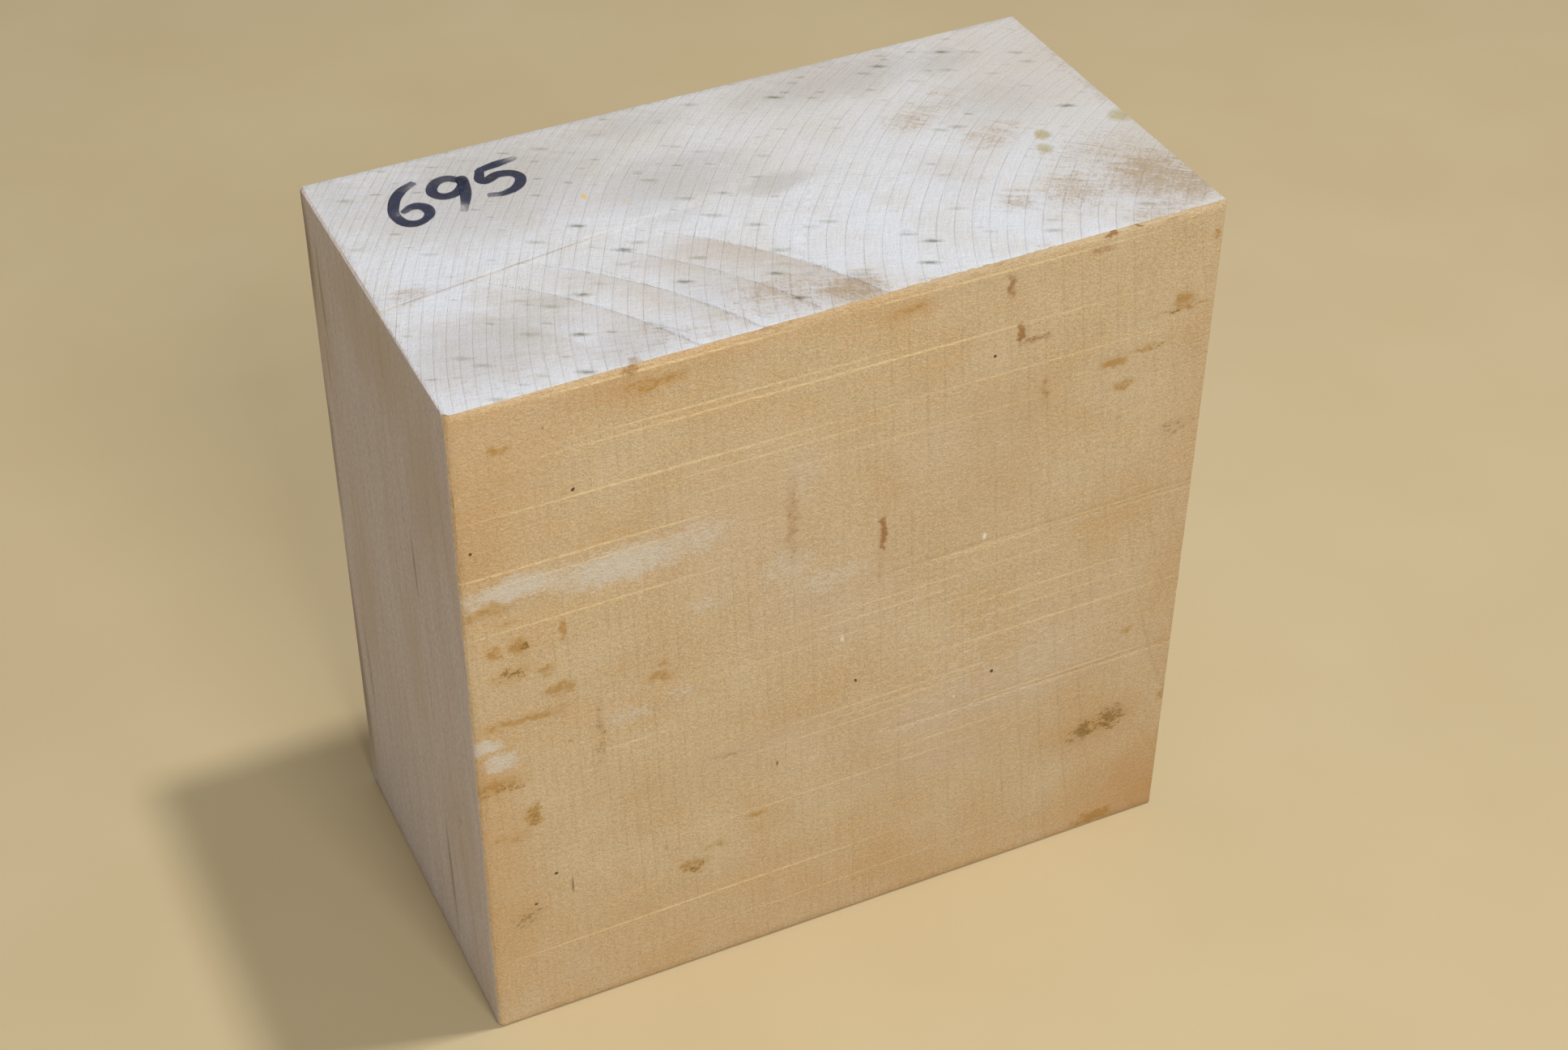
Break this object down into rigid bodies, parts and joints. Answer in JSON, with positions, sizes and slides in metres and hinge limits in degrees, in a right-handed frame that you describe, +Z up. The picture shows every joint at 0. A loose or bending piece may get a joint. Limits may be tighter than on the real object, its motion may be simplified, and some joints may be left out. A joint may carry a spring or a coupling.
{
  "type": "maple wood block",
  "caption": "Sawn block of light maple standing on end grain, with a pale, slightly out-of-square sawn top and a tan front face.",
  "frame": {"origin": "middle of the sawn end that the block stands on", "axes": "+Z up along the grain, -Y out of the tan front face, +X towards the higher side"},
  "size_m": [0.152, 0.08, 0.1535],
  "materials": {
    "maple": "sawn, unfinished, matt"
  },
  "bodies": {
    "root": {"block": "maple"}
  },
  "joints": []
}
